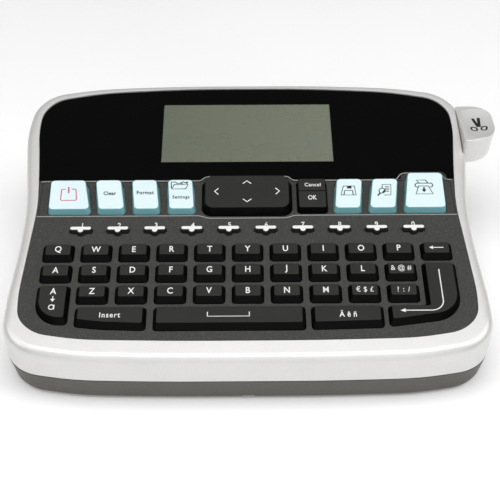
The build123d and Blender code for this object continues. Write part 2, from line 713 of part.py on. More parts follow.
with BuildPart() as bottom_case:
    add(
        case_shell(
            [
                (FLOOR_Z, FLOOR_INSET + 1.4), (FLOOR_Z + 0.5, FLOOR_INSET + 0.4),
                (FLOOR_Z + 1.4, FLOOR_INSET), (SEAM_Z - SEAM_GROOVE, SEAM_INSET),
                (SEAM_Z, SEAM_INSET + SEAM_GROOVE),
            ]
        )
    )
    with BuildSketch(BASE.offset(FLOOR_Z + FLOOR)):
        add(case_outline(FLOOR_INSET + WALL))
    extrude(amount=ROOM, mode=Mode.SUBTRACT)
    add(posts.part)
    with BuildSketch(BASE.offset(FLOOR_Z)):
        with Locations(*SCREW_SPOTS):
            Circle(BASE_BOSS)
    extrude(amount=SEAM_Z - FLOOR_Z)
    with BuildSketch(BASE.offset(FLOOR_Z)):
        with Locations(*SCREW_SPOTS):
            Circle(SCREW_WELL)
    extrude(amount=2 * SCREW_HEAD_TALL, mode=Mode.SUBTRACT)
    with BuildSketch(BASE.offset(FLOOR_Z)):
        with Locations(*SCREW_SPOTS):
            Circle(SCREW_RADIUS + 0.2)
        with Locations(*FOOT_SPOTS):
            Circle(FOOT_PEG + 0.1)
    extrude(amount=SEAM_Z, mode=Mode.SUBTRACT)
    with BuildSketch(BASE.offset(FLOOR_Z)):
        with Locations(*FOOT_SPOTS):
            Circle(FOOT_RADIUS + 0.1)
    extrude(amount=FOOT_SINK, mode=Mode.SUBTRACT)
    # battery bay
    with BuildSketch(BASE.offset(FLOOR_Z + FLOOR)):
        with Locations(BATTERY_CENTRE):
            Rectangle(BATTERY[0] + 2 * (BAY_WALL + BAY_GAP), BATTERY[1] + 2 * (BAY_WALL + BAY_GAP))
            Rectangle(BATTERY[0] + 2 * BAY_GAP, BATTERY[1] + 2 * BAY_GAP, mode=Mode.SUBTRACT)
    extrude(amount=8)
    # cradle that carries the cassette above the floor
    with BuildSketch(BASE.offset(FLOOR_Z + FLOOR)):
        with Locations(CASSETTE_CENTRE):
            with GridLocations(0, 17, 1, 3):
                Rectangle(CASSETTE[0] - 6, BAY_WALL)
    extrude(amount=CASSETTE_Z - FLOOR_Z - FLOOR)
    with BuildSketch(BASE.offset(FLOOR_Z + FLOOR)):
        with Locations((CASSETTE_CENTRE[0] - CASSETTE[0] / 2 - BAY_GAP - BAY_WALL / 2, 126)):
            Rectangle(BAY_WALL, 46)
    extrude(amount=18)
    # power inlet in the rear wall
    with BuildSketch(REAR):
        with Locations((-INLET_X, (FLOOR_Z + SEAM_Z) / 2)):
            Rectangle(11, SEAM_Z - FLOOR_Z - 0.8)
    extrude(amount=12)
    with BuildSketch(REAR.offset(4)):
        with Locations((-INLET_X, INLET_Z)):
            Circle(INLET_RADIUS)
    extrude(amount=ROOM, mode=Mode.SUBTRACT)
    with BuildSketch(REAR.offset(3)):
        with Locations((-INLET_X, INLET_Z)):
            Circle(0.8)
    extrude(amount=8)
    # a small notch under the middle of the front edge
    with BuildSketch(BASE.offset(FLOOR_Z)):
        with Locations((0, 0)):
            Rectangle(5, 12)
    extrude(amount=1.2, mode=Mode.SUBTRACT)
save(bottom_case, "bottom_case")

with BuildPart() as rubber_feet:
    with BuildSketch(BASE):
        with Locations(*FOOT_SPOTS):
            Circle(FOOT_RADIUS)
    extrude(amount=FLOOR_Z + FOOT_SINK)
    fillet(rubber_feet.faces().group_by(Axis.Z)[0].edges(), 0.4)
    with BuildSketch(BASE.offset(FLOOR_Z + FOOT_SINK)):
        with Locations(*FOOT_SPOTS):
            Circle(FOOT_PEG)
    extrude(amount=FLOOR - FOOT_SINK)
save(rubber_feet, "rubber_feet")

with BuildPart() as case_screws:
    with BuildSketch(BASE.offset(FLOOR_Z + SCREW_HEAD_TALL)):
        with Locations(*SCREW_SPOTS):
            Circle(SCREW_WELL - 0.3)
    extrude(amount=SCREW_HEAD_TALL)
    with BuildSketch(BASE.offset(FLOOR_Z + 2 * SCREW_HEAD_TALL)):
        with Locations(*SCREW_SPOTS):
            Circle(SCREW_RADIUS)
    extrude(amount=SCREW_TIP - FLOOR_Z - 2 * SCREW_HEAD_TALL)
    with BuildSketch(BASE.offset(FLOOR_Z + SCREW_HEAD_TALL)):
        with Locations(*SCREW_SPOTS):
            Rectangle(3.6, 0.8)
            Rectangle(0.8, 3.6)
    extrude(amount=1.2, mode=Mode.SUBTRACT)
save(case_screws, "case_screws")

with BuildPart() as battery_pack:
    with BuildSketch(BASE.offset(FLOOR_Z + FLOOR)):
        with Locations(BATTERY_CENTRE):
            RectangleRounded(BATTERY[0], BATTERY[1], 2.5)
    extrude(amount=BATTERY[2])
    fillet(battery_pack.faces().sort_by(Axis.Z)[-1].edges(), 1.0)
save(battery_pack, "battery_pack")

# ------------------------------------------------------------------------------------
# Tape cassette and print mechanism
# ------------------------------------------------------------------------------------
CASSETTE_RIGHT = CASSETTE_CENTRE[0] + CASSETTE[0] / 2
ROLLER_X = 90.0
ROLLER_RADIUS = 4.0
ROLLER_Y = TAPE_Y - ROLLER_RADIUS - 0.1
ROLLER_BOTTOM = 13.0
ROLLER_LENGTH = 16.0
SHAFT_RADIUS = 1.5
MOTOR_RADIUS = 5.5
HEAD_TOP = 30.0
SPOOL_SPOTS = [(20.0, 128.0), (58.0, 132.0)]

with BuildPart() as tape_cassette:
    with BuildSketch(BASE.offset(CASSETTE_Z)):
        with Locations(CASSETTE_CENTRE):
            RectangleRounded(CASSETTE[0], CASSETTE[1], 5)
        with Locations((CASSETTE_RIGHT - 6, CASSETTE_CENTRE[1] - CASSETTE[1] / 2 + 5)):
            Rectangle(12, 10, mode=Mode.SUBTRACT)
    extrude(amount=CASSETTE[2])
    fillet(tape_cassette.faces().sort_by(Axis.Z)[-1].edges(), 0.8)
    with BuildSketch(BASE.offset(CASSETTE_Z)):
        with Locations(*SPOOL_SPOTS):
            Circle(5)
    extrude(amount=ROOM, mode=Mode.SUBTRACT)
    with BuildSketch(BASE.offset(CASSETTE_Z + CASSETTE[2] - 0.6)):
        with Locations((CASSETTE_CENTRE[0] - 2, 112)):
            RectangleRounded(44, 12, 2)
    extrude(amount=1, mode=Mode.SUBTRACT)
save(tape_cassette, "tape_cassette")

# Thermal print head: a ceramic bar on a finned heat sink, standing on the lower case
with BuildPart() as print_head:
    with BuildSketch(BASE.offset(ROLLER_BOTTOM - 0.5)):
        with Locations((ROLLER_X, TAPE_Y + 1.4)):
            Rectangle(6, 2.4)
    extrude(amount=HEAD_TOP - ROLLER_BOTTOM + 0.5)
    with BuildSketch(BASE.offset(FLOOR_Z + FLOOR)):
        with Locations((ROLLER_X, TAPE_Y + 4.4)):
            with GridLocations(2.2, 0, 3, 1):
                Rectangle(1.0, 4)
    extrude(amount=HEAD_TOP - FLOOR_Z - FLOOR)
save(print_head, "print_head")

with BuildPart() as drive_motor:
    with BuildSketch(BASE.offset(FLOOR_Z + FLOOR)):
        with Locations((ROLLER_X, ROLLER_Y)):
            Circle(MOTOR_RADIUS)
    extrude(amount=ROLLER_BOTTOM - 1.0 - FLOOR_Z - FLOOR)
    with BuildSketch(BASE.offset(ROLLER_BOTTOM - 6.0)):
        with Locations((ROLLER_X, ROLLER_Y)):
            Circle(SHAFT_RADIUS + 0.05)
    extrude(amount=6, mode=Mode.SUBTRACT)
save(drive_motor, "drive_motor")

with BuildPart() as platen_roller:
    with BuildSketch(BASE.offset(ROLLER_BOTTOM)):
        with Locations((ROLLER_X, ROLLER_Y)):
            Circle(ROLLER_RADIUS)
    extrude(amount=ROLLER_LENGTH)
    with BuildSketch(BASE.offset(ROLLER_BOTTOM - 5.8)):
        with Locations((ROLLER_X, ROLLER_Y)):
            Circle(SHAFT_RADIUS)
    extrude(amount=ROLLER_LENGTH + 8.0)
    with BuildSketch(BASE.offset(ROLLER_BOTTOM - 5.8)):
        with Locations((ROLLER_X, ROLLER_Y + SHAFT_RADIUS)):
            Rectangle(3, 0.8)
    extrude(amount=5, mode=Mode.SUBTRACT)
save(platen_roller, "platen_roller")

# ------------------------------------------------------------------------------------
# Cutter: the button outside the wall, its slider inside, and a swinging blade
# ------------------------------------------------------------------------------------
BUTTON_REAR_RADIUS = 9.5
BUTTON_FRONT_RADIUS = 15.0
BUTTON_DRAFT = 2.6  # the underside is this much shorter at each end
SLIDER = (12.2, 2.0)
NOSE = (3.2, 2.0)  # the part of the slider that rides on the blade's arm


def button_outline(draft):
    """The button from above: square against the case, round outside, shorter by draft at each end."""
    right = BUTTON_REACH - draft / 4
    front = BUTTON_Y - BUTTON_DEEP / 2 + draft
    rear = BUTTON_Y + BUTTON_DEEP / 2 - draft
    corners = [(BUTTON_X, rear), (right, rear), (right, front), (BUTTON_X, front)]
    return rounded(corners, [1.2, BUTTON_REAR_RADIUS, BUTTON_FRONT_RADIUS, 1.2])


with BuildPart() as dish:
    with Locations(BASE.from_local_coords((BUTTON_X + 9.4, BUTTON_Y, BUTTON_TOP + DISH_RADIUS - DISH_DEEP))):
        Sphere(DISH_RADIUS)
    split(bisect_by=SIDE.offset(BUTTON_X + DISH_STRIP), keep=Keep.TOP)

with BuildPart() as cutter_button:
    with BuildSketch(BASE.offset(BUTTON_TOP - BUTTON_TALL)):
        add(button_outline(BUTTON_DRAFT))
    with BuildSketch(BASE.offset(BUTTON_TOP)):
        add(button_outline(0))
    loft()
    fillet(cutter_button.faces().sort_by(Axis.Z)[-1].edges(), 0.6)
    add(dish.part, mode=Mode.SUBTRACT)
    # stem through the wall
    with BuildSketch(SIDE.offset(LEVER_BACK)):
        with Locations((STEM_Y, STEM_Z)):
            RectangleRounded(6.0, 4.0, 0.8)
    extrude(amount=BUTTON_X + 1 - LEVER_BACK)
    # slider inside the wall, and the nose that presses the blade's arm
    with BuildSketch(SIDE.offset(LEVER_BACK)):
        with Locations((STEM_Y, STEM_Z + 0.2)):
            Rectangle(*SLIDER)
    extrude(amount=GUARD_X - 0.3 - LEVER_BACK)
    with BuildSketch(SIDE.offset(LEVER_X - 0.4)):
        with Locations((STEM_Y - 0.5, STEM_Z + 0.2)):
            Rectangle(*NOSE)
    extrude(amount=LEVER_BACK - LEVER_X + 0.5)
save(cutter_button, "cutter_button")

# The blade is a bell crank: the button presses its arm and the edge swings across the label.
BLADE_CORNERS = [
    (136.5, 42.5), (121.0, 44.6), (118.6, 43.6), (118.8, 41.3), (126.5, 37.5),
    (116.6, 29.0), (116.6, 13.6), (121.5, 15.0), (124.2, 30.2), (136.0, 36.0),
]

with BuildPart() as cutter_blade:
    with BuildSketch(SIDE.offset(LEVER_X)):
        with BuildLine():
            Polyline(*BLADE_CORNERS, close=True)
        make_face()
        with Locations(PIVOT):
            Circle(PIVOT_COLLAR + 1.2)
            Circle(PIVOT_RADIUS + 0.05, mode=Mode.SUBTRACT)
    extrude(amount=LEVER)
save(cutter_blade, "cutter_blade")
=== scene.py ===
import json
import math

import bmesh
import bpy
from mathutils import Euler, Matrix, Vector
from mathutils.bvhtree import BVHTree


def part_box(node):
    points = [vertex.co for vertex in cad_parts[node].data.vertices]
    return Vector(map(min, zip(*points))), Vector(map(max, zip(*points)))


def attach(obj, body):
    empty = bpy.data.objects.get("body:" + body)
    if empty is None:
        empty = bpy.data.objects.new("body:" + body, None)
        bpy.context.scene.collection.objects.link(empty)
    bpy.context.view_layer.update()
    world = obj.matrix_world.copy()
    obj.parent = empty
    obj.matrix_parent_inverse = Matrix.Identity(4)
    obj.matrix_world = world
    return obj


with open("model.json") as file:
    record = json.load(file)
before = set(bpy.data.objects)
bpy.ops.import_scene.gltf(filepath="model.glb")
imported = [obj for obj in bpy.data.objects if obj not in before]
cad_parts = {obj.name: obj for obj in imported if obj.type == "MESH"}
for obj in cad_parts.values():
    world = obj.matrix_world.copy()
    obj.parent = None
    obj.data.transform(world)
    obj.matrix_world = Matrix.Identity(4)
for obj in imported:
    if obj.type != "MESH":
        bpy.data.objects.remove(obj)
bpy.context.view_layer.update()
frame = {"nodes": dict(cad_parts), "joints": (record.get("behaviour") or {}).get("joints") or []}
MM = 0.001
TOP_SLACK = 0.05  # points this far below the highest one still belong to the top face

# ------------------------------------------------------------------------------------
# The sloping deck's own axes: x to the right, s up the slope, h square to the plate
# ------------------------------------------------------------------------------------
KEY_PRESS = next(j for j in frame["joints"] if j["name"] == "key_q_press")
NORMAL = -Vector(KEY_PRESS["axis"]).normalized()
ACROSS = Vector((1, 0, 0))
UPHILL = NORMAL.cross(ACROSS)
TILT = math.acos(NORMAL.z)


def corners_of(node):
    return [v.co for v in frame["nodes"][node].data.vertices]


PLATE_LOW, PLATE_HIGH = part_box("keyboard_deck")
PLATE_TOP = max(v.dot(NORMAL) for v in corners_of("keyboard_deck"))
PLATE_FRONT = min(v.dot(UPHILL) for v in corners_of("keyboard_deck"))
DECK_ORIGIN = ACROSS * (PLATE_LOW.x + PLATE_HIGH.x) / 2 + UPHILL * PLATE_FRONT + NORMAL * PLATE_TOP
DECK = Matrix.Translation(DECK_ORIGIN) @ Matrix((ACROSS, UPHILL, NORMAL)).transposed().to_4x4()
TO_DECK = DECK.inverted()


class Span:
    """The box of some points in the deck's axes, in millimetres."""

    def __init__(self, points):
        self.low = Vector([min(p[i] for p in points) for i in range(3)])
        self.high = Vector([max(p[i] for p in points) for i in range(3)])
        self.centre = (self.low + self.high) / 2
        self.size = self.high - self.low


def deck_points(node):
    return [TO_DECK @ v / MM for v in corners_of(node)]


def top_face(node, part=None):
    """The span of a key's top face; part limits it to the points that pass a test."""
    points = deck_points(node)
    if part:
        points = [p for p in points if part(p)]
    top = max(p.z for p in points)
    return Span([p for p in points if p.z > top - TOP_SLACK])


def groups_across(node, gap=3.0):
    """The top faces of a node's separate bars, from left to right."""
    points = deck_points(node)
    top = max(p.z for p in points)
    points = sorted((p for p in points if p.z > top - TOP_SLACK), key=lambda p: p.x)
    groups = [[points[0]]]
    for point in points[1:]:
        if point.x - groups[-1][-1].x > gap:
            groups.append([])
        groups[-1].append(point)
    return [Span(group) for group in groups]


# ------------------------------------------------------------------------------------
# Materials
# ------------------------------------------------------------------------------------
def start_material(name, **sockets):
    """A new material with its Principled shader, and the constant sockets set."""
    material = bpy.data.materials.new(name)
    material.use_nodes = True
    shader = material.node_tree.nodes["Principled BSDF"]
    for socket, value in sockets.items():
        shader.inputs[socket.replace("_", " ")].default_value = value
    return material, material.node_tree, shader


def object_coordinates(tree, turned=False):
    """Object coordinates, or the same turned flat with the deck."""
    where = tree.nodes.new("ShaderNodeTexCoord")
    if not turned:
        return where.outputs["Object"]
    turn = tree.nodes.new("ShaderNodeVectorRotate")
    turn.rotation_type = "X_AXIS"
    turn.inputs["Angle"].default_value = -TILT
    tree.links.new(where.outputs["Object"], turn.inputs["Vector"])
    return turn.outputs["Vector"]


def noise(tree, coordinates, grain, detail=3.0):
    texture = tree.nodes.new("ShaderNodeTexNoise")
    texture.inputs["Scale"].default_value = 1 / grain
    texture.inputs["Detail"].default_value = detail
    tree.links.new(coordinates, texture.inputs["Vector"])
    return texture.outputs["Fac"]


def spread(tree, factor, low, high):
    """A factor that mostly lies between 0.3 and 0.7, stretched from low to high."""
    stretch = tree.nodes.new("ShaderNodeMapRange")
    stretch.inputs["From Min"].default_value = 0.3
    stretch.inputs["From Max"].default_value = 0.7
    stretch.inputs["To Min"].default_value = low
    stretch.inputs["To Max"].default_value = high
    tree.links.new(factor, stretch.inputs["Value"])
    return stretch.outputs["Result"]


def mix(tree, factor, first, second):
    """A colour mixed from two, each a colour or another node's output."""
    node = tree.nodes.new("ShaderNodeMix")
    node.data_type = "RGBA"
    tree.links.new(factor, node.inputs["Factor"])
    for socket, colour in (("A", first), ("B", second)):
        target = next(i for i in node.inputs if i.name == socket and i.type == "RGBA")
        if isinstance(colour, bpy.types.NodeSocket):
            tree.links.new(colour, target)
        else:
            target.default_value = (*colour, 1)
    return next(o for o in node.outputs if o.type == "RGBA")


def facing(tree, direction, low, high):
    """0 where the surface turns away from a direction of the object, 1 where it faces it."""
    where = tree.nodes.new("ShaderNodeTexCoord")
    dot = tree.nodes.new("ShaderNodeVectorMath")
    dot.operation = "DOT_PRODUCT"
    dot.inputs[1].default_value = direction
    tree.links.new(where.outputs["Normal"], dot.inputs[0])
    ramp = tree.nodes.new("ShaderNodeMapRange")
    ramp.inputs["From Min"].default_value = low
    ramp.inputs["From Max"].default_value = high
    tree.links.new(dot.outputs["Value"], ramp.inputs["Value"])
    return ramp.outputs["Result"]


TOP_FACING = (0.82, 0.97)  # how squarely a face looks along the deck's normal: side, then top; this masks the side colour, which is painted shade on the dark and blue keys


def shade(colour, amount):
    return tuple(min(1.0, c * amount) for c in colour)


def plastic(name, colour, rough, grain, depth, mottle=0.06, side=None, fleck=None, **sockets):
    """Moulded plastic: a grained surface, slight mottling, and, if a side colour is given, that colour on
    faces turned from the deck's normal; on the dark and blue keys it is painted shade.
    """
    material, tree, shader = start_material(name, **sockets)
    coordinates = object_coordinates(tree)
    cloud = noise(tree, coordinates, 18 * MM)
    fine = noise(tree, coordinates, grain, 4.0)
    tone = mix(tree, spread(tree, cloud, 0, 1), shade(colour, 1 - mottle), shade(colour, 1 + mottle))
    if fleck:
        speck = noise(tree, coordinates, grain * 0.7, 1.0)
        tone = mix(tree, spread(tree, speck, -1.2, 1.0), tone, fleck)
    # side colour on faces turned from the deck: painted shade on the dark and blue keys
    if side:
        tone = mix(tree, facing(tree, NORMAL, *TOP_FACING), side, tone)
    tree.links.new(tone, shader.inputs["Base Color"])
    tree.links.new(spread(tree, fine, rough - 0.07, rough + 0.07), shader.inputs["Roughness"])
    bump = tree.nodes.new("ShaderNodeBump")
    bump.inputs["Strength"].default_value = 0.6
    bump.inputs["Distance"].default_value = depth
    tree.links.new(fine, bump.inputs["Height"])
    tree.links.new(bump.outputs["Normal"], shader.inputs["Normal"])
    return material


def brushed(name, colour, rough, stretch):
    """Ground metal, with fine lines along one direction of the object."""
    material, tree, shader = start_material(name, Metallic=1.0)
    scale = tree.nodes.new("ShaderNodeMapping")
    scale.inputs["Scale"].default_value = stretch
    tree.links.new(object_coordinates(tree), scale.inputs["Vector"])
    lines = noise(tree, scale.outputs["Vector"], 0.3 * MM, 5.0)
    tree.links.new(
        mix(tree, spread(tree, lines, 0, 1), shade(colour, 0.8), shade(colour, 1.1)),
        shader.inputs["Base Color"],
    )
    tree.links.new(spread(tree, lines, rough - 0.1, rough + 0.1), shader.inputs["Roughness"])
    return material


def display_glass(name):
    """The grey-green display: a soft gradient and a fine grid of cells under a clear coat."""
    material, tree, shader = start_material(name, Coat_Weight=0.3, Coat_Roughness=0.06)
    coordinates = object_coordinates(tree, turned=True)
    apart = tree.nodes.new("ShaderNodeSeparateXYZ")
    tree.links.new(coordinates, apart.inputs["Vector"])
    slope = tree.nodes.new("ShaderNodeMapRange")
    low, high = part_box("lcd_module")
    slope.inputs["From Min"].default_value = low.x
    slope.inputs["From Max"].default_value = high.x
    tree.links.new(apart.outputs["X"], slope.inputs["Value"])
    tone = mix(tree, slope.outputs["Result"], (0.128, 0.144, 0.107), (0.170, 0.188, 0.139))
    cells = tree.nodes.new("ShaderNodeTexBrick")
    cells.offset = 0.0
    cells.inputs["Scale"].default_value = 1.0
    cells.inputs["Brick Width"].default_value = 0.62 * MM
    cells.inputs["Row Height"].default_value = 0.62 * MM
    cells.inputs["Mortar Size"].default_value = 0.05 * MM
    cells.inputs["Mortar Smooth"].default_value = 0.4
    tree.links.new(coordinates, cells.inputs["Vector"])
    grid = spread(tree, cells.outputs["Fac"], 0.0, 0.14)
    tree.links.new(mix(tree, grid, tone, (0.05, 0.055, 0.045)), shader.inputs["Base Color"])
    smear = noise(tree, coordinates, 12 * MM)
    tree.links.new(spread(tree, smear, 0.24, 0.34), shader.inputs["Roughness"])
    return material


def gloss_panel(name):
    """Black acrylic: deep gloss with faint handling marks."""
    material, tree, shader = start_material(name, Specular_IOR_Level=0.2)
    coordinates = object_coordinates(tree)
    smear = noise(tree, coordinates, 14 * MM, 6.0)
    dust = noise(tree, coordinates, 0.5 * MM, 2.0)
    tone = mix(tree, spread(tree, dust, 0, 1), (0.0008, 0.0008, 0.0009), (0.0015, 0.0015, 0.0016))
    tree.links.new(tone, shader.inputs["Base Color"])
    tree.links.new(spread(tree, smear, 0.06, 0.16), shader.inputs["Roughness"])
    return material


def printed_board(name):
    """Green solder mask with paler tracks."""
    material, tree, shader = start_material(name)
    coordinates = object_coordinates(tree, turned=True)
    tracks = tree.nodes.new("ShaderNodeTexBrick")
    tracks.inputs["Scale"].default_value = 1.0
    tracks.inputs["Brick Width"].default_value = 7 * MM
    tracks.inputs["Row Height"].default_value = 1.6 * MM
    tracks.inputs["Mortar Size"].default_value = 0.12 * MM
    tree.links.new(coordinates, tracks.inputs["Vector"])
    tone = mix(tree, tracks.outputs["Fac"], (0.012, 0.10, 0.04), (0.05, 0.24, 0.10))
    tree.links.new(tone, shader.inputs["Base Color"])
    tree.links.new(spread(tree, noise(tree, coordinates, 3 * MM), 0.3, 0.45), shader.inputs["Roughness"])
    return material


def ink(name, colour, rough=0.5):
    """Printed paint: a slightly uneven film."""
    material, tree, shader = start_material(name)
    coordinates = object_coordinates(tree)
    film = noise(tree, coordinates, 0.6 * MM, 3.0)
    tone = mix(tree, spread(tree, film, 0, 1), shade(colour, 0.93), shade(colour, 1.04))
    tree.links.new(tone, shader.inputs["Base Color"])
    tree.links.new(spread(tree, film, rough - 0.06, rough + 0.06), shader.inputs["Roughness"])
    return material


SILVER = plastic(
    "pearl_silver", (0.72, 0.715, 0.705), 0.36, 0.35 * MM, 0.01 * MM, 0.02,
    fleck=(0.79, 0.785, 0.775), Metallic=0.35,
)
MATT = {"Specular_IOR_Level": 0.25}
DARK_CASE = plastic(
    "dark_case", (0.108, 0.103, 0.094), 0.5, 0.45 * MM, 0.03 * MM, fleck=(0.145, 0.14, 0.128), **MATT
)
DECK_SKIN = plastic(
    "deck_skin", (0.038, 0.038, 0.035), 0.5, 0.55 * MM, 0.07 * MM, fleck=(0.085, 0.085, 0.078), **MATT
)
# The dark keys' near-black sides are painted shade on the steep fronts and sides.
DARK_KEY = plastic(
    "dark_key", (0.029, 0.030, 0.0265), 0.42, 0.4 * MM, 0.015 * MM, side=(0.001, 0.001, 0.001),
    Specular_IOR_Level=0.08,
)
# The blue keys' teal sides are partly the plastic's deeper colour and partly painted shade.
BLUE_KEY = plastic(
    "blue_key", (0.72, 0.86, 0.89), 0.42, 0.5 * MM, 0.008 * MM, 0.015, side=(0.21, 0.50, 0.54),
    Subsurface_Weight=0.08, Subsurface_Scale=0.001,
)
NUMBER_RUBBER = plastic(
    "number_rubber", (0.80, 0.80, 0.785), 0.5, 0.4 * MM, 0.012 * MM, 0.02, side=(0.03, 0.03, 0.028)
)
WHITE_BUTTON = plastic(
    "white_button", (0.74, 0.735, 0.72), 0.34, 0.4 * MM, 0.008 * MM, 0.015,
    fleck=(0.79, 0.785, 0.775), Metallic=0.35,
)
SILICONE = plastic("silicone", (0.15, 0.15, 0.145), 0.6, 0.8 * MM, 0.02 * MM)
FOOT_RUBBER = plastic("foot_rubber", (0.02, 0.02, 0.02), 0.75, 0.6 * MM, 0.04 * MM)
ROLLER_RUBBER = plastic("roller_rubber", (0.03, 0.03, 0.032), 0.6, 0.3 * MM, 0.02 * MM)
CASSETTE_PLASTIC = plastic("cassette_plastic", (0.03, 0.03, 0.031), 0.4, 0.5 * MM, 0.03 * MM)
BATTERY_WRAP = plastic("battery_wrap", (0.02, 0.06, 0.20), 0.3, 2.5 * MM, 0.05 * MM)
CERAMIC = plastic("head_ceramic", (0.68, 0.67, 0.62), 0.35, 0.3 * MM, 0.01 * MM)
GROUND_STEEL = brushed("ground_steel", (0.6, 0.6, 0.6), 0.3, (1, 1, 30))
DARK_STEEL = brushed("dark_steel", (0.16, 0.16, 0.17), 0.4, (1, 20, 1))
MOTOR_CAN = brushed("motor_can", (0.48, 0.48, 0.49), 0.35, (1, 1, 25))
# The band ridges' pale grey is a painted highlight along edges that catch the light.
RIDGE_PAINTED_HIGHLIGHT = plastic("ridge_painted_highlight", (0.30, 0.30, 0.285), 0.3, 0.4 * MM, 0.01 * MM)
WHITE_INK = ink("white_ink", (0.82, 0.82, 0.81))
BLACK_INK = ink("black_ink", (0.006, 0.008, 0.009))
PINK_INK = ink("pink_ink", (0.62, 0.11, 0.19))
GREY_LABEL = ink("grey_label", (0.42, 0.42, 0.41), 0.35)

NODE_MATERIALS = {
    "top_frame": SILVER, "cassette_door": SILVER, "bottom_case": DARK_CASE,
    "keyboard_deck": DECK_SKIN, "display_window": gloss_panel("black_gloss"),
    "lcd_module": display_glass("display_glass"), "main_board": printed_board("printed_board"),
    "key_mat": SILICONE, "battery_pack": BATTERY_WRAP, "tape_cassette": CASSETTE_PLASTIC,
    "print_head": CERAMIC, "drive_motor": MOTOR_CAN, "rubber_feet": FOOT_RUBBER,
    "case_screws": DARK_STEEL, "cutter_button": WHITE_BUTTON, "cutter_blade": GROUND_STEEL,
    "platen_roller": ROLLER_RUBBER, "number_keys": NUMBER_RUBBER,
}
BLUE_KEYS = ["clear", "format", "power", "preview", "print", "save", "settings"]
NODE_MATERIALS.update({f"key_{name}": BLUE_KEY for name in BLUE_KEYS})
for node, thing in frame["nodes"].items():
    thing.data.materials.clear()
    thing.data.materials.append(NODE_MATERIALS.get(node, DARK_KEY))


# ------------------------------------------------------------------------------------
# Printed marks: letters, strokes and filled shapes in millimetres about a face's middle
# ------------------------------------------------------------------------------------
INK_THICK = 0.03
INK_LIFT = 0.005
CAP_HEIGHT = 0.682  # of the font's em
LETTER_NARROW = 0.84


def width_of(mesh):
    return Span([v.co for v in mesh.vertices]).size.x


def baked(curve):
    """The mesh of a curve, whose object is thrown away."""
    holder = bpy.data.objects.new("holder", curve)
    bpy.context.scene.collection.objects.link(holder)
    graph = bpy.context.evaluated_depsgraph_get()
    mesh = bpy.data.meshes.new_from_object(holder.evaluated_get(graph))
    bpy.data.objects.remove(holder)
    bpy.data.curves.remove(curve)
    return mesh


def stroke(points, width, closed, smoothness):
    """The mesh of a round stroke of one width through flat points."""
    curve = bpy.data.curves.new("stroke", "CURVE")
    curve.dimensions = "3D"
    curve.bevel_depth = width / 2
    curve.bevel_resolution = smoothness
    curve.use_fill_caps = True
    spline = curve.splines.new("POLY")
    spline.points.add(len(points) - 1)
    for point, (x, y) in zip(spline.points, points):
        point.co = (x, y, 0, 1)
    spline.use_cyclic_u = closed
    return baked(curve)


def raised(shape, outline, thick):
    """Add a flat polygon to a shape and raise it; return the raised points."""
    face = shape.faces.new([shape.verts.new((x, y, 0)) for x, y in outline])
    grown = bmesh.ops.extrude_face_region(shape, geom=[face])["geom"]
    top = [g for g in grown if isinstance(g, bmesh.types.BMVert)]
    bmesh.ops.translate(shape, vec=(0, 0, thick), verts=top)
    return top


def add_piece(name, data, body):
    """Put a finished mesh in the scene, riding on a body."""
    piece = bpy.data.objects.new(name, data)
    bpy.context.scene.collection.objects.link(piece)
    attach(piece, body)


class Marks:
    """Marks printed on one face, which become one piece on one body."""

    def __init__(self, name, body, slot_name, material, centre, lean=0.0):
        self.name = name
        self.body = body
        self.slot_name = slot_name
        self.material = material
        self.centre = Vector(centre)
        self.lean = lean
        self.shape = bmesh.new()

    def take(self, data, matrix):
        data.transform(matrix)
        self.shape.from_mesh(data)
        bpy.data.meshes.remove(data)

    def lettered(self, text, high, bold, apart):
        """The mesh of a line of text, with its letters pushed apart."""
        font = bpy.data.curves.new("font", "FONT")
        font.body = text
        font.size = high / CAP_HEIGHT
        font.offset = bold
        font.extrude = INK_THICK / 2
        font.align_x = "CENTER"
        font.resolution_u = 4
        font.space_character = apart
        return baked(font)

    def write(self, text, x=0.0, y=0.0, high=3.0, bold=0.05, across=None):
        """Text with its middle at x, y and capitals this high, spaced out to a width if one is given."""
        mesh = self.lettered(text, high, bold, 1)
        narrow = LETTER_NARROW * width_of(mesh)
        if across:
            wide = LETTER_NARROW * width_of(self.lettered(text, high, bold, 2))
            apart = max(1, 1 + (across - narrow) / (wide - narrow))
            mesh = self.lettered(text, high, bold, apart)
        squeeze = (across or narrow) / width_of(mesh)
        ends = Span([v.co for v in mesh.vertices])
        place = Matrix.Translation((x, y, INK_THICK / 2)) @ Matrix.Diagonal((squeeze, 1, 1, 1))
        self.take(mesh, place @ Matrix.Translation((-ends.centre.x, -ends.centre.y, 0)))
        return self

    def line(self, points, width=0.45, closed=False):
        """A stroke of one width through the points."""
        flat = Matrix.Diagonal((1, 1, INK_THICK / width, 1))
        self.take(stroke(points, width, closed, smoothness=2), flat)
        return self

    def area(self, points):
        """A filled polygon."""
        raised(self.shape, points, INK_THICK)
        return self

    def done(self, drape_on=None, plane=None):
        """Place the marks on the deck, or on another plane, and drape them if asked."""
        bmesh.ops.recalc_face_normals(self.shape, faces=self.shape.faces)
        data = bpy.data.meshes.new(self.name)
        self.shape.to_mesh(data)
        self.shape.free()
        lift = Matrix.Translation(self.centre + Vector((0, 0, INK_LIFT)))
        sheared = Matrix(((1, self.lean, 0, 0), (0, 1, 0, 0), (0, 0, 1, 0), (0, 0, 0, 1)))
        data.transform((plane or DECK) @ Matrix.Scale(MM, 4) @ lift @ sheared)
        if drape_on:
            drape(data, drape_on, (plane or DECK).to_3x3() @ Vector((0, 0, 1)))
        data.materials.append(self.material)
        add_piece(self.name, data, self.body)


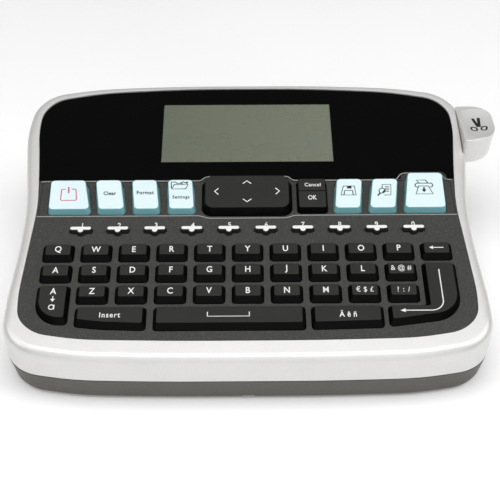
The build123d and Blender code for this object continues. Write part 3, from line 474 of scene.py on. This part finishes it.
def drape(data, node, up):
    """Move each point along up until it is as high over the node as it was over the node's top."""
    target = frame["nodes"][node].data
    tree = BVHTree.FromPolygons([v.co for v in target.vertices], [p.vertices for p in target.polygons])
    start = max(v.co.dot(up) for v in target.vertices)
    reach = 20 * MM
    for vertex in data.vertices:
        level = vertex.co.dot(up) - start
        above = vertex.co + up * reach
        hit = tree.ray_cast(above, -up)[0]
        if hit:
            vertex.co = hit + up * level


def arc(x, y, radius, first, last, steps=14, squash=1.0):
    """Points along an arc, with angles in degrees."""
    angles = [math.radians(first + (last - first) * i / steps) for i in range(steps + 1)]
    return [(x + radius * math.cos(a), y + radius * squash * math.sin(a)) for a in angles]


def rounded_box(x, y, width, height, radius):
    """The outline of a rectangle with round corners."""
    points = []
    for side, end, first in ((1, 1, 0), (-1, 1, 90), (-1, -1, 180), (1, -1, 270)):
        cx = x + side * (width / 2 - radius)
        cy = y + end * (height / 2 - radius)
        points += arc(cx, cy, radius, first, first + 90, 4)
    return points


# ------------------------------------------------------------------------------------
# Legends on the dark keys
# ------------------------------------------------------------------------------------
def on_key(
    node, material=WHITE_INK, part=None, suffix="legend", slot_name="dark_key_plastic", lean=0.0
):
    """Marks about the middle of a key's top face."""
    face = top_face(node, part)
    spot = (face.centre.x, face.centre.y, face.high.z)
    return Marks(f"{node}_{suffix}", node, slot_name, material, spot, lean)


BOLD = 0.06
FINE = 0.01  # for the characters whose strokes would run together
for letter in "qwertyuiopasdfghjklzxcvbnm":
    on_key(f"key_{letter}").write(letter.upper(), bold=FINE if letter == "m" else BOLD).done()

backspace = on_key("key_backspace")
backspace.line([(3.1, 0), (-2.2, 0)], 0.45).area([(-1.5, 0.95), (-3.2, 0), (-1.5, -0.95)])
backspace.done()

caps = on_key("key_caps")
caps.write("A", 0.15, 5.2, bold=BOLD)
caps.line(arc(0.1, -3.0, 1.05, 0, 360, 18, 1.1)[:-1], 0.5, closed=True)
caps.line([(1.2, -1.8), (1.2, -4.2)], 0.5)
caps.line([(0.3, 2.6), (0.3, 1.0)], 0.45).area([(-0.7, 1.2), (0.3, -0.3), (1.3, 1.2)])
caps.done()

on_key("key_insert").write("Insert", high=2.5, bold=0.05, across=8.6).done()
on_key("key_accents").write("Äêñ", high=2.6, bold=0.05, across=7.2).done()
SPACE_MIDDLE = -0.45
SPACE_HALF = 8.65
bracket = on_key("key_space")
space_low, space_high = SPACE_MIDDLE - SPACE_HALF, SPACE_MIDDLE + SPACE_HALF
bracket.line([(space_low, 1.3), (space_low, -0.9), (space_high, -0.9), (space_high, 1.3)], 0.45)
bracket.done()

ENTER_TOP = top_face("key_enter")
enter = Marks(
    "key_enter_legend", "key_enter", "dark_key_plastic", WHITE_INK,
    (ENTER_TOP.high.x - 6.2, ENTER_TOP.low.y + 4.0, ENTER_TOP.high.z),
)
enter.line([(0, 21.3), (0, 6.2)] + arc(-5.2, 5.2, 5.2, 0, -90, 10) + [(-16.6, 0)], 0.5)
enter.area([(-16.2, 0.95), (-18.4, 0), (-16.2, -0.95)])
enter.done()

RIGHT_COLUMN = top_face("symbol_keys")
SYMBOLS = [
    ("&@#", 8.8, 0.0, lambda p: p.y > RIGHT_COLUMN.centre.y),
    ("€$£", 7.3, 0.0, lambda p: p.y < RIGHT_COLUMN.centre.y and p.x < RIGHT_COLUMN.centre.x),
    ("?:/", 5.3, 0.0, lambda p: p.y < RIGHT_COLUMN.centre.y and p.x > RIGHT_COLUMN.centre.x),
]
for index, (text, across, x, part) in enumerate(SYMBOLS):
    symbols = on_key("symbol_keys", part=part, suffix=f"legend_{index + 1}")
    symbols.write(text, x, high=2.5, bold=FINE, across=across).done()

pad = on_key("navigation_pad")
REACH_X, REACH_Y = 12.9, 4.6
for side in (-1, 1):
    pad.line([(side * REACH_X, 1.85), (side * (REACH_X + 1.7), 0), (side * REACH_X, -1.85)], 0.55)
    pad.line([(-1.85, side * REACH_Y), (0, side * (REACH_Y + 1.7)), (1.85, side * REACH_Y)], 0.55)
pad.done()

rocker = on_key("cancel_ok_key")
rocker.write("Cancel", 0.4, 4.9, 2.0, 0.03, across=7.2).write("OK", 0, -2.8, 2.5, 0.04, across=3.9)
rocker.done()

# digits printed on the plate behind each number key
DIGITS = "1234567890"
BARS = groups_across("number_keys")
for digit, bar in zip(DIGITS, BARS):
    spot = (bar.centre.x + 0.3, bar.high.y + 2.4, 0)
    digit_marks = Marks(f"digit_{digit}", "housing", "deck_plastic", WHITE_INK, spot)
    digit_marks.write(digit, high=2.6, bold=0.07).done()


# ------------------------------------------------------------------------------------
# Signs on the pale blue keys and the cutter button
# ------------------------------------------------------------------------------------
def lean_of(node):
    """How far a key's top face leans to the right for each millimetre up the slope."""
    face = top_face(node)
    points = [p for p in deck_points(node) if p.z > face.high.z - TOP_SLACK]
    edge = 0.4
    rear = Span([p for p in points if p.y > face.high.y - edge])
    front = Span([p for p in points if p.y < face.low.y + edge])
    return (rear.centre.x - front.centre.x) / face.size.y


def on_blue(node, material=BLACK_INK):
    return on_key(node, material, suffix="sign", slot_name="blue_key_plastic", lean=lean_of(node))


power = on_blue("key_power", PINK_INK)
power.line([(-1.8, 3.2), (-3.3, 3.2), (-3.7, 2.7), (-4.1, -2.9), (-3.7, -3.5), (2.6, -3.5), (3.0, -2.9),
            (2.8, 2.7), (2.4, 3.2), (0.8, 3.2)], 0.55)
power.line([(-0.5, 4.6), (-0.5, 0.8)], 0.75)
power.done()

on_blue("key_clear").write("Clear", 0, 0.6, 1.95, 0.075, across=5.7).done()
on_blue("key_format").write("Format", 0, 0.9, 1.95, 0.075, across=7.7).done()

FOLDER_WIDE = 0.5
settings = on_blue("key_settings")
settings.write("Settings", 0, -2.1, 1.7, 0.06, across=7.6)
settings.line([(-4.2, 3.3), (-4.2, 7.2), (-2.4, 7.2), (-1.7, 6.4), (0.2, 6.4), (1.2, 5.9)], FOLDER_WIDE)
settings.line([(-4.0, 3.0), (-2.9, 5.7), (3.4, 5.7), (2.2, 3.0)], FOLDER_WIDE, closed=True)
settings.line([(0.0, 6.6), (1.2, 7.3), (2.6, 6.4)], FOLDER_WIDE).area([(1.8, 6.9), (3.4, 7.4), (3.1, 5.9)])
settings.done()

SAVE_WIDE = 0.5
save = on_blue("key_save")
save.line([(-2.5, 4.2), (2.5, 4.2), (3.4, -1.2), (-3.4, -1.2)], SAVE_WIDE, closed=True)
save.line([(-2.1, -1.1), (-1.7, 1.5), (1.7, 1.5), (2.1, -1.1)], SAVE_WIDE)
save.area([(-0.8, 2.7), (1.3, 2.7), (1.2, 4.0), (-0.7, 4.0)])
save.done()

PREVIEW_WIDE = 0.42
preview = on_blue("key_preview")
preview.line([(-0.9, 2.9), (-0.9, 5.0), (3.0, 5.0), (3.2, -1.3), (0.2, -1.3)], PREVIEW_WIDE)
for row in range(4):
    preview.line([(0.3, 3.7 - 0.95 * row), (2.3, 3.7 - 0.95 * row)], 0.4)
preview.line(arc(-0.9, 1.3, 1.35, 0, 360, 20, 1.1)[:-1], 0.45, closed=True)
preview.line([(0.6, 1.9), (-0.6, 0.2)], 0.7).line([(-1.6, 0.1), (-2.7, -1.7)], 0.75)
preview.done()

PRINT_WIDE = 0.52
printer = on_blue("key_print")
printer.line([(-2.1, 3.9), (-3.3, 5.8), (0.9, 5.8), (1.8, 3.9)], PRINT_WIDE)
printer.line([(-2.8, 1.4), (-3.9, 2.0), (-4.0, 3.1), (-3.3, 3.9), (3.3, 3.9), (4.0, 3.1),
              (3.9, 2.0), (2.8, 1.4)], PRINT_WIDE)
printer.line([(-2.4, 2.2), (2.0, 2.2), (4.0, -2.6), (-3.7, -2.6)], PRINT_WIDE, closed=True)
printer.area([(-0.35, 1.5), (-0.35, 0.1), (-1.1, 0.1), (0, -1.6), (1.1, 0.1), (0.35, 0.1), (0.35, 1.5)])
printer.done()

BUTTON_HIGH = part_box("cutter_button")[1]
DISH_IN = 7.4 * MM  # the dish's centre is this far inside the button's outer edge
BUTTON_DEEP = 31 * MM
THUMB = Vector((BUTTON_HIGH.x - DISH_IN, BUTTON_HIGH.y - BUTTON_DEEP / 2, BUTTON_HIGH.z))
scissors = Marks("cutter_sign", "cutter_button", "white_button_plastic", BLACK_INK, (-0.4, 0, 0))
BLADE_WIDE = 1.4
scissors.line([(-1.6, 6.3), (0.1, -0.4)], BLADE_WIDE).line([(1.3, 6.8), (0.7, -0.4)], BLADE_WIDE)
left_loop = rounded_box(-2.2, -2.5, 2.6, 3.2, 1.0)
right_loop = [(x + 2.7 + 0.25 * y, y - 1.8) for x, y in rounded_box(0, 0, 2.5, 3.4, 1.0)]
for loop in (left_loop, right_loop):
    scissors.line(loop, 0.85, closed=True)
scissors.done(drape_on="cutter_button", plane=Matrix.Translation(THUMB))


# ------------------------------------------------------------------------------------
# Moulded details on the case
# ------------------------------------------------------------------------------------
def bead(name, material, points, width, height, matrix=DECK):
    """A thin rounded ridge on the housing along a path, sunk to half its height."""
    mesh = stroke(points, width, closed=False, smoothness=4)
    mesh.transform(matrix @ Matrix.Scale(MM, 4) @ Matrix.Diagonal((1, 1, 2 * height / width, 1)))
    mesh.materials.clear()
    mesh.materials.append(material)
    for polygon in mesh.polygons:
        polygon.use_smooth = True
    add_piece(name, mesh, "housing")


def eased(points, reach=1.6, steps=5):
    """A path whose inner corners are rounded off."""
    path = [points[0]]
    for before, corner, after in zip(points, points[1:], points[2:]):
        before, corner, after = (Vector(p) for p in (before, corner, after))
        start = corner + (before - corner).normalized() * reach
        end = corner + (after - corner).normalized() * reach
        for i in range(steps + 1):
            t = i / steps
            point = start * (1 - t) ** 2 + corner * 2 * t * (1 - t) + end * t ** 2
            path.append((point.x, point.y))
    path.append(points[-1])
    return path


NAV = Span(deck_points("navigation_pad"))
PRINT = Span(deck_points("key_print"))
POWER = Span(deck_points("key_power"))
DECK_SPAN = Span(deck_points("keyboard_deck"))
BAND_FRONT = POWER.low.y - 0.35
BAND_REAR = Span(deck_points("key_clear")).high.y + 0.35
BAND_HALF = DECK_SPAN.size.x / 2 - 2.3
NAV_SIDE = NAV.size.x / 2 + 1.2
NAV_REAR = NAV.high.y + 0.9
NAV_FRONT = NAV.low.y - 0.9
PRINT_REAR = PRINT.high.y + 0.9
RIDGE_WIDE = 0.5
RIDGE_HIGH = 0.14

# Ridges along the function-key band, coloured in the painted highlight grey.
front_path = [
    (-BAND_HALF, BAND_FRONT), (-NAV_SIDE + 1.2, BAND_FRONT), (-NAV_SIDE + 4.6, NAV_FRONT),
    (NAV_SIDE - 4.6, NAV_FRONT), (NAV_SIDE - 1.2, BAND_FRONT), (BAND_HALF, BAND_FRONT),
]
bead("band_ridge_front", RIDGE_PAINTED_HIGHLIGHT, eased(front_path), RIDGE_WIDE, RIDGE_HIGH)
rear_path = [
    (-BAND_HALF, BAND_REAR), (-NAV_SIDE + 1.0, BAND_REAR), (-NAV_SIDE + 3.4, NAV_REAR),
    (NAV_SIDE - 3.4, NAV_REAR), (NAV_SIDE - 1.0, BAND_REAR), (PRINT.low.x - 1.0, BAND_REAR),
    (PRINT.low.x + 1.6, PRINT_REAR), (PRINT.high.x - 1.8, PRINT_REAR),
    (PRINT.high.x + 0.6, BAND_REAR), (BAND_HALF, BAND_REAR),
]
bead("band_ridge_rear", RIDGE_PAINTED_HIGHLIGHT, eased(rear_path), RIDGE_WIDE, RIDGE_HIGH)


def plate(name, material, outline, thick, matrix, soften=0.15):
    """A thin flat piece on the housing with softened edges."""
    shape = bmesh.new()
    top = raised(shape, outline, thick)
    edges = [e for e in shape.edges if all(v in top for v in e.verts)]
    bmesh.ops.bevel(shape, geom=edges, offset=soften, segments=3, affect="EDGES", profile=0.6)
    bmesh.ops.recalc_face_normals(shape, faces=shape.faces)
    data = bpy.data.meshes.new(name)
    shape.to_mesh(data)
    shape.free()
    data.transform(matrix @ Matrix.Scale(MM, 4))
    data.materials.append(material)
    add_piece(name, data, "housing")


# Underside: the battery cover with its grip lines, and a blank data plate
UNDER_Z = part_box("bottom_case")[0].z
BATTERY_LOW, BATTERY_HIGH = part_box("battery_pack")
BATTERY_MID = (BATTERY_LOW + BATTERY_HIGH) / 2
BATTERY_SIZE = (BATTERY_HIGH - BATTERY_LOW) / MM
COVER_MARGIN = 3.0  # beyond the battery on every side
COVER_THICK = 0.4
COVER_WIDE = BATTERY_SIZE.x + 2 * COVER_MARGIN
COVER_DEEP = BATTERY_SIZE.y + 2 * COVER_MARGIN
GRIPS = 5
GRIP_HALF = 7.0
GRIP_PITCH = 1.6
GRIP_START = 4.0  # from the cover's rear edge
DATA_WIDE, DATA_DEEP, DATA_THICK = 52, 30, 0.12
DATA_X = 90.0  # from the battery's middle


def underside(x, depth=0.0):
    """Axes on the underside, x millimetres from the battery's middle, with z pointing down."""
    spot = Vector((BATTERY_MID.x + x * MM, BATTERY_MID.y, UNDER_Z - depth * MM))
    return Matrix.Translation(spot) @ Matrix.Rotation(math.pi, 4, "X")


cover_outline = rounded_box(0, 0, COVER_WIDE, COVER_DEEP, 3)
plate("battery_cover", DARK_CASE, cover_outline, COVER_THICK, underside(0))
for row in range(GRIPS):
    y = COVER_DEEP / 2 - GRIP_START - GRIP_PITCH * row
    ends = [(-GRIP_HALF, y), (GRIP_HALF, y)]
    on_cover = underside(0, COVER_THICK)
    bead(f"cover_grip_{row + 1}", DARK_CASE, ends, 0.8, 0.25, matrix=on_cover)
data_outline = rounded_box(0, 0, DATA_WIDE, DATA_DEEP, 2)
plate("data_plate", GREY_LABEL, data_outline, DATA_THICK, underside(DATA_X), soften=0.03)

# ------------------------------------------------------------------------------------
# Floor, light and camera
# ------------------------------------------------------------------------------------
ELEVATION = 38.74
YAW = 0.54
DISTANCE = 0.4773
LENS = 77.14
AIM = Vector((-0.0061, -0.0151, 0.030))


def floor():
    material, tree, shader = start_material(
        "floor_paper", Emission_Color=(1, 1, 1, 1), Emission_Strength=0.12
    )
    cloud = noise(tree, object_coordinates(tree), 0.3)
    tone = mix(tree, spread(tree, cloud, 0, 1), (0.90, 0.90, 0.90), (0.94, 0.94, 0.94))
    tree.links.new(tone, shader.inputs["Base Color"])
    tree.links.new(spread(tree, cloud, 0.6, 0.75), shader.inputs["Roughness"])
    bpy.ops.mesh.primitive_grid_add(x_subdivisions=8, y_subdivisions=8, size=12)
    ground = bpy.context.object
    ground.name = "floor"
    ground.data.materials.append(material)


def area_light(name, place, size, power):
    """A soft square light that looks at the middle of the object."""
    lamp = bpy.data.lights.new(name, "AREA")
    lamp.size = size
    lamp.energy = power
    thing = bpy.data.objects.new(name, lamp)
    bpy.context.scene.collection.objects.link(thing)
    thing.location = place
    thing.rotation_euler = (AIM - Vector(place)).to_track_quat("-Z", "Y").to_euler()


def world_light(strength):
    world = bpy.data.worlds.new("studio")
    world.use_nodes = True
    world.node_tree.nodes["Background"].inputs["Color"].default_value = (1, 1, 1, 1)
    world.node_tree.nodes["Background"].inputs["Strength"].default_value = strength
    bpy.context.scene.world = world


def camera():
    data = bpy.data.cameras.new("camera")
    data.lens = LENS
    data.sensor_width = 36
    data.clip_start = 0.01
    thing = bpy.data.objects.new("camera", data)
    bpy.context.scene.collection.objects.link(thing)
    rotation = Euler((math.radians(90 - ELEVATION), 0, math.radians(-YAW)), "XYZ")
    thing.rotation_euler = rotation
    thing.location = AIM + rotation.to_matrix() @ Vector((0, 0, DISTANCE))
    bpy.context.scene.camera = thing


floor()
world_light(0.12)
SOFTBOXES = [  # place and size in metres, and power in watts
    ("front_light", (0, -1.0, 0.66), 1.3, 4.5),
    ("overhead_light", (0, -0.12, 1.15), 0.9, 7.5),
    ("left_light", (-0.85, -0.1, 0.85), 0.8, 3.4),
    ("right_light", (0.85, -0.1, 0.85), 0.8, 4.4),
]
for softbox in SOFTBOXES:
    area_light(*softbox)
camera()
bpy.context.scene.view_settings.view_transform = "Standard"
